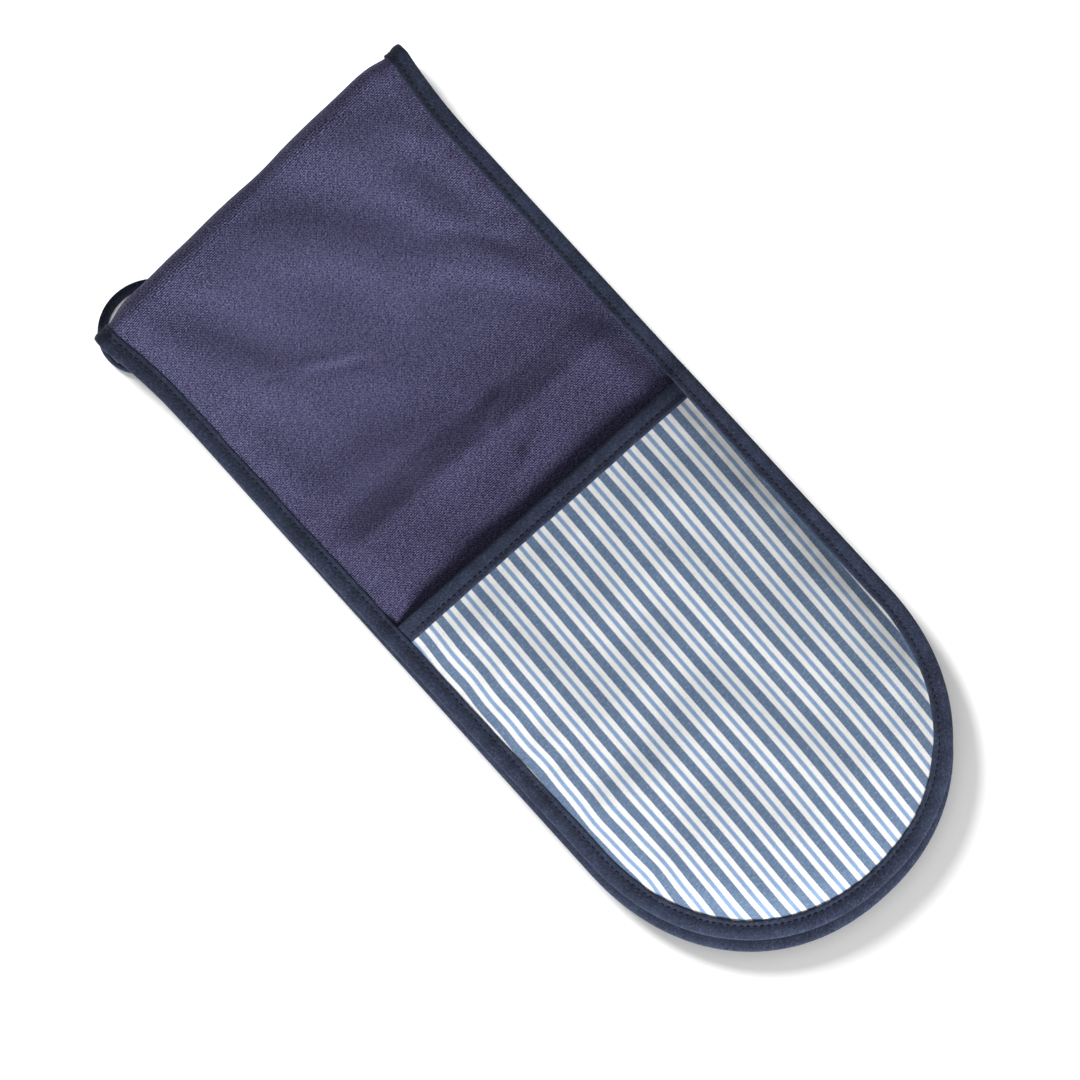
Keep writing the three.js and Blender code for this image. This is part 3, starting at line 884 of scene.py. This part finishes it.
def build_mouth_binding(side, materials):
    """Tape over the edge of a pocket's mouth, from one side binding to the other."""
    front = POCKET + 0.9
    inner_edge = TAPE_WIDTH * TAPE_SHARE
    x_end = HALF - inner_edge + 0.9
    x = np.linspace(-x_end, x_end, 121)[:, None]
    # The profile: inset, height, whether from the pocket's top or the lining's underside, and how pale it is painted,
    # partly as rubbed wear and partly as painted highlight on its raised parts.
    profile = np.array([
        (9.35, 0.10, 1, 0.2), (9.55, 0.42, 1, 0.4), (9.2, 0.74, 1, 0.4), (8.3, 0.86, 1, 0.2), (7.3, 0.68, 1, 0.0),
        (6.6, 0.42, 1, 0.0), (5.9, 0.66, 1, 0.0), (4.3, 0.92, 1, 0.1), (2.5, 0.90, 1, 0.2), (1.2, 0.74, 1, 0.3),
        (0.4, 0.42, 1, 0.8), (0.0, -0.25, 1, 1.0), (0.0, 0.25, 0, 1.0), (0.4, -0.40, 0, 0.7), (1.2, -0.70, 0, 0.4),
        (3.5, -0.82, 0, 0.1), (6.5, -0.74, 0, 0.0), (8.6, -0.80, 0, 0.2), (9.3, -0.62, 0, 0.3), (9.5, -0.38, 0, 0.2),
        (9.2, -0.14, 0, 0.0), (6.0, -0.16, 0, 0.0), (1.4, -0.14, 0, 0.0), (0.75, 0.25, 0, 0.0), (0.75, -0.25, 1, 0.0),
        (1.4, 0.12, 1, 0.0), (6.0, 0.14, 1, 0.0),
    ])
    waver = ripple(x[:, 0] / 7.5, x[:, 0] * 0 + 2, 61 if side == "upper" else 67, 2)[:, None]
    back = profile[None, :, 0] + smooth((profile[None, :, 0] - 5) / 4) * waver * 0.18
    s = front - back
    r = s - LOWER_LENGTH if side == "lower" else ROLL + UPPER_LENGTH - s
    xs, rs = np.broadcast_arrays(x, r)
    edge = inset_at(xs, rs)
    level = np.where(profile[None, :, 2] > 0.5, pocket_top(xs, rs, edge), lining_under(xs, rs, edge))
    puff = ripple(x[:, 0] / 1.9, x[:, 0] * 0, 71, 2)[:, None] * 0.08
    section_rise = profile[None, :, 1]
    rise = section_rise + np.where(np.abs(section_rise) > 0.5, puff * np.sign(section_rise), 0)
    rise = rise * (0.12 + 0.88 * smooth((edge - inner_edge) / 1.5))
    floor = front_under(xs, rs, edge) + FRONT + 0.08
    height = np.maximum(level + rise, floor)
    points = place(xs, rs, height)
    cross = np.concatenate([[0], np.cumsum(np.hypot(np.diff(profile[:, 0]), np.diff(profile[:, 1])))])
    # The paleness also takes the puffs, as painted highlight where the tape swells up.
    at = np.stack(np.broadcast_arrays(cross[None, :], x + 3000, profile[None, :, 3] + puff * 2), -1)
    count = len(profile)
    faces = tube_faces(*xs.shape, False)
    caps = [list(range(count)), list(range((len(x) - 1) * count, len(x) * count))[::-1]]
    obj = new_piece(f"{side}_mouth_tape", points, faces, at.reshape(-1, 3), materials["tape"], caps)
    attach(obj, f"{side}_half")
    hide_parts(f"{side}_pocket_binding")


# ---- Stitches ----
def stitch_run(centres, ahead, up, length, thickness):
    """Short bent threads, one at each centre, that dip into the cloth at their ends."""
    around, steps = 6, 7
    share = np.linspace(-1, 1, steps)
    arch = 0.5 - 1.25 * share**2 * np.abs(share)
    thin = np.sqrt(np.clip(1 - 0.75 * share**4, 0.05, 1))
    beside = np.cross(ahead, up)
    turns = np.arange(around) / around * 2 * math.pi
    spine = (centres[:, None, :] + ahead[:, None, :] * (share * length / 2)[None, :, None]
             + up[:, None, :] * (arch * thickness)[None, :, None])
    ring = (beside[:, None, None, :] * np.cos(turns)[None, None, :, None]
            + up[:, None, None, :] * np.sin(turns)[None, None, :, None])
    points = spine[:, :, None, :] + ring * (thin * thickness / 2)[None, :, None, None]
    base = tube_faces(steps, around, False)
    caps = [list(range(around))[::-1], list(range((steps - 1) * around, steps * around))]
    faces, all_caps = [], []
    for i in range(len(centres)):
        shift = i * steps * around
        faces.append(base[:, ::-1] + shift)
        all_caps += [[v + shift for v in cap] for cap in caps]
    at = np.stack(np.broadcast_arrays(turns[None, None, :] * 0.2, (share * length / 2 / MM)[None, :, None],
                                      np.zeros((len(centres), 1, 1))), -1)
    return points.reshape(-1, 3), np.concatenate(faces), at.reshape(-1, 3), all_caps


def even_stitches(x, r, height_of, pitch):
    """Stitches each pitch along a run of x and r: their centres, directions, outward directions and r."""
    walk = np.concatenate([[0], np.cumsum(np.hypot(np.diff(x), np.diff(r)))])
    count = int(walk[-1] / pitch)
    at = (np.arange(count) + 0.5) / count * walk[-1]
    sx, sr = np.interp(at, walk, x), np.interp(at, walk, r)
    ax, ar = np.interp(at + 0.4, walk, x), np.interp(at + 0.4, walk, r)
    bx, br = np.interp(at - 0.4, walk, x), np.interp(at - 0.4, walk, r)
    centre = place(sx, sr, height_of(sx, sr))
    ahead = place(ax, ar, height_of(ax, ar)) - place(bx, br, height_of(bx, br))
    ahead /= np.linalg.norm(ahead, axis=1, keepdims=True)
    up = place(sx, sr, height_of(sx, sr) + 1) - centre
    up -= ahead * np.sum(up * ahead, axis=1, keepdims=True)
    up /= np.linalg.norm(up, axis=1, keepdims=True)
    return centre, ahead, up, sr


def build_stitches(stations, materials):
    pitch, length, thick = 3.1, 2.45 * MM, 0.56 * MM
    x, r = edge_point(stations, np.array([[6.7 * TAPE_SHARE]]))
    x, r = np.append(x[:, 0], x[0, 0]), np.append(r[:, 0], r[0, 0])
    outer = even_stitches(x, r, lambda a, b: tape_top(b) + 0.46, pitch)
    inner = even_stitches(x, r, lambda a, b: np.full(np.shape(a), -0.60), pitch)
    rows = (("edge_stitches_out", outer, 1), ("edge_stitches_in", inner, -1))
    for name, (centre, ahead, up, sr), flip in rows:
        points, faces, at, caps = stitch_run(centre, ahead, up * flip, length, thick)
        obj = new_piece(name, points, faces, at, materials["thread"], caps)
        bend_with_fold(obj, np.repeat(sr, len(points) // len(sr)))
    for side in ("lower", "upper"):
        x_end = HALF - TAPE_WIDTH - 1.5
        xs = np.linspace(-x_end, x_end, 400)
        s = np.full(xs.shape, POCKET + 0.9 - 6.6)
        rs = s - LOWER_LENGTH if side == "lower" else ROLL + UPPER_LENGTH - s

        def lie(a, b):
            return pocket_top(a, b, inset_at(a, b)) + 0.48

        points, faces, at, caps = stitch_run(*even_stitches(xs, rs, lie, pitch)[:3], length, thick)
        obj = new_piece(f"{side}_mouth_stitches", points, faces, at, materials["thread"], caps)
        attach(obj, f"{side}_half")


# ---- Hanging loop ----
def build_loop(materials):
    """A folded tape that stands on its edge in an oval, its two ends together under the side binding."""
    box_low, box_high = (np.array(corner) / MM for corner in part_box("hanging_loop"))
    length_x, length_y, lean, thick = 47.0, 42.0, 2.6, 1.9
    centre = np.array([box_low[0] + length_x / 2, box_high[1] - length_y / 2])
    low, high = box_low[2], box_low[2] + 4.6
    turns = np.linspace(0, 2 * math.pi, 160, endpoint=False)
    profile = np.array([
        (0.02, 0.10), (0.0, 0.5), (0.0, 0.9), (0.18, 1.0), (0.5, 1.02), (0.82, 1.0),
        (1.0, 0.9), (1.0, 0.5), (1.0, 0.1), (0.8, 0.0), (0.5, -0.01), (0.2, 0.0),
    ])
    waver = ripple(np.cos(turns) * 3, np.sin(turns) * 3, 81, 2)[:, None]
    rise = np.clip(profile[None, :, 1], 0, 1)
    inset = profile[None, :, 0] * thick + (1 - rise) * lean + 0.15 + 0.12 * waver
    z = low + 0.05 + (high - low - 0.1) * rise + 0 * waver
    x = centre[0] + np.cos(turns)[:, None] * (length_x / 2 - inset)
    y = centre[1] + np.sin(turns)[:, None] * (length_y / 2 - inset)
    points = np.stack([x, y, z], -1) * MM
    walk = turns * (length_x + length_y) / 4
    # Paler at the tape's top and bottom edges: partly rubbed wear, partly painted highlight.
    wear_and_highlight = np.where(np.abs(profile[:, 1] - 0.5) > 0.4, 0.8, 0.15)
    across = profile[:, 1] * 5 + profile[:, 0]
    at = np.stack(np.broadcast_arrays(across[None, :], walk[:, None], wear_and_highlight[None, :]), -1).reshape(-1, 3)
    ring = new_piece("loop_tape", points, tube_faces(*x.shape, True)[:, ::-1], at, materials["tape"])
    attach(ring, "hanging_loop")
    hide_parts("hanging_loop")

    # The ends of the tape, side by side, rise from the ring's left and turn in over the edge of the glove.
    tab_y = ROLL_CENTRE[1] - 4.0 - 6.5 / 2
    top = box_high[2]
    start = box_low[0] + lean + 0.2
    path = np.array([
        (start + 0.45, low + 1.2), (start + 0.40, low + 3.6), (start + 0.55, top - 1.6),
        (start + 1.4, top - 0.75), (start + 3.0, top - 0.62), (start + 9.7, top - 0.62),
    ])
    share = np.linspace(0, len(path) - 1, 26)
    spine = np.stack([np.interp(share, range(len(path)), path[:, k]) for k in (0, 1)], -1)
    for _ in range(4):
        spine[1:-1] = (spine[:-2] + 2 * spine[1:-1] + spine[2:]) / 4
    ahead = np.gradient(spine, axis=0)
    ahead /= np.linalg.norm(ahead, axis=1, keepdims=True)
    normal = np.stack([-ahead[:, 1], ahead[:, 0]], -1)
    section = np.array([
        (-0.5, 0.0), (-0.47, 0.8), (0, 1.0), (0.47, 0.8), (0.5, 0.0), (0.47, -0.8), (0, -1.0), (-0.47, -0.8),
    ])
    count = len(section)
    caps = [list(range(count))[::-1], list(range((len(spine) - 1) * count, len(spine) * count))]
    for k, (offset, width) in enumerate(((-0.36, 6.3), (0.36, 5.9))):
        body = spine[:, None, :] + normal[:, None, :] * (offset + section[None, :, 1:2] * 0.30)
        across = section[None, :, 0] * width
        points = np.stack([body[..., 0], np.broadcast_to(tab_y + across, body.shape[:2]), body[..., 1]], -1)
        faces = tube_faces(*body.shape[:2], False)[:, ::-1]
        at = np.stack(np.broadcast_arrays(across, share[:, None] * 2.2, np.full((1, count), 0.3)), -1)
        tab = new_piece(f"loop_end_{k + 1}", points * MM, faces, at.reshape(-1, 3), materials["tape"], caps)
        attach(tab, "hanging_loop")


# ---- Floor, light and camera ----
CAMERA_RIGHT = Vector((0.7384, -0.6744, 0.0))
CAMERA_UP = Vector((0.6744, 0.7384, 0.0))
VIEW_CENTRE = Vector((-0.0068, 0.0052, 0.018))
VIEW_WIDTH = 0.4880
LENS = 100.0


def build_stage(materials):
    mesh = bpy.data.meshes.new("floor")
    reach = 12
    corners = [(-reach, -reach, 0), (reach, -reach, 0), (reach, reach, 0), (-reach, reach, 0)]
    mesh.from_pydata(corners, [], [(0, 1, 2, 3)])
    mesh.materials.append(materials["floor"])
    floor = bpy.data.objects.new("floor", mesh)
    floor.location.z = -0.0002
    bpy.context.scene.collection.objects.link(floor)
    return floor


def area_light(name, spot, aim, size, power):
    light = bpy.data.lights.new(name, "AREA")
    light.shape = "DISK"
    light.size = size
    light.energy = power
    obj = bpy.data.objects.new(name, light)
    obj.location = spot
    obj.rotation_euler = (Vector(aim) - Vector(spot)).to_track_quat("-Z", "Y").to_euler()
    bpy.context.scene.collection.objects.link(obj)
    return obj


def even_light(name, strength, spread):
    """A lamp from straight above, the same all over."""
    light = bpy.data.lights.new(name, "SUN")
    light.energy = strength
    light.angle = spread
    obj = bpy.data.objects.new(name, light)
    bpy.context.scene.collection.objects.link(obj)
    return obj


def lights_only(light, floor, on_floor):
    """Let a lamp light the floor alone, or everything but the floor."""
    group = bpy.data.collections.new(light.name + "_reach")
    group.objects.link(floor)
    light.light_linking.receiver_collection = group
    group.collection_objects[0].light_linking.link_state = "INCLUDE" if on_floor else "EXCLUDE"


def build_light(floor):
    world = bpy.data.worlds.new("studio")
    bpy.context.scene.world = world
    world.use_nodes = True
    background = world.node_tree.nodes["Background"]
    background.inputs["Color"].default_value = (1.0, 1.0, 1.0, 1.0)
    background.inputs["Strength"].default_value = 0.36
    sky = even_light("sky", 1.13, math.radians(70))
    backdrop = area_light("backdrop", (0.0, 1.15, 1.12), (0, 0, 0), 0.42, 30)
    key = area_light("key", (-0.78, -1.24, 0.86), (0, 0, 0), 0.8, 62)
    lights_only(sky, floor, True)
    lights_only(backdrop, floor, True)
    lights_only(key, floor, False)


def build_camera():
    camera = bpy.data.cameras.new("camera")
    camera.lens = LENS
    camera.sensor_width = 36.0
    camera.clip_end = 40
    distance = VIEW_WIDTH * LENS / 36.0
    obj = bpy.data.objects.new("camera", camera)
    axes = Matrix((CAMERA_RIGHT.normalized(), CAMERA_UP.normalized(), Vector((0, 0, 1)))).transposed()
    obj.matrix_world = Matrix.Translation(VIEW_CENTRE + Vector((0, 0, distance))) @ axes.to_4x4()
    bpy.context.scene.collection.objects.link(obj)
    bpy.context.scene.camera = obj


def main():
    materials = {
        "drill": drill_material(),
        "ticking": ticking_material(),
        "tape": tape_material(),
        "thread": thread_material(),
        "wadding": wadding_material(),
        "lining": lining_material(),
        "floor": floor_material(),
    }
    settle_cloths()
    build_cloths(materials)
    for side in ("lower", "upper"):
        build_pocket(side, materials)
        build_mouth_binding(side, materials)
    stations = build_edge_binding(materials)
    build_stitches(stations, materials)
    build_loop(materials)
    floor = build_stage(materials)
    build_light(floor)
    build_camera()
    bpy.context.scene.view_settings.view_transform = "Standard"


main()
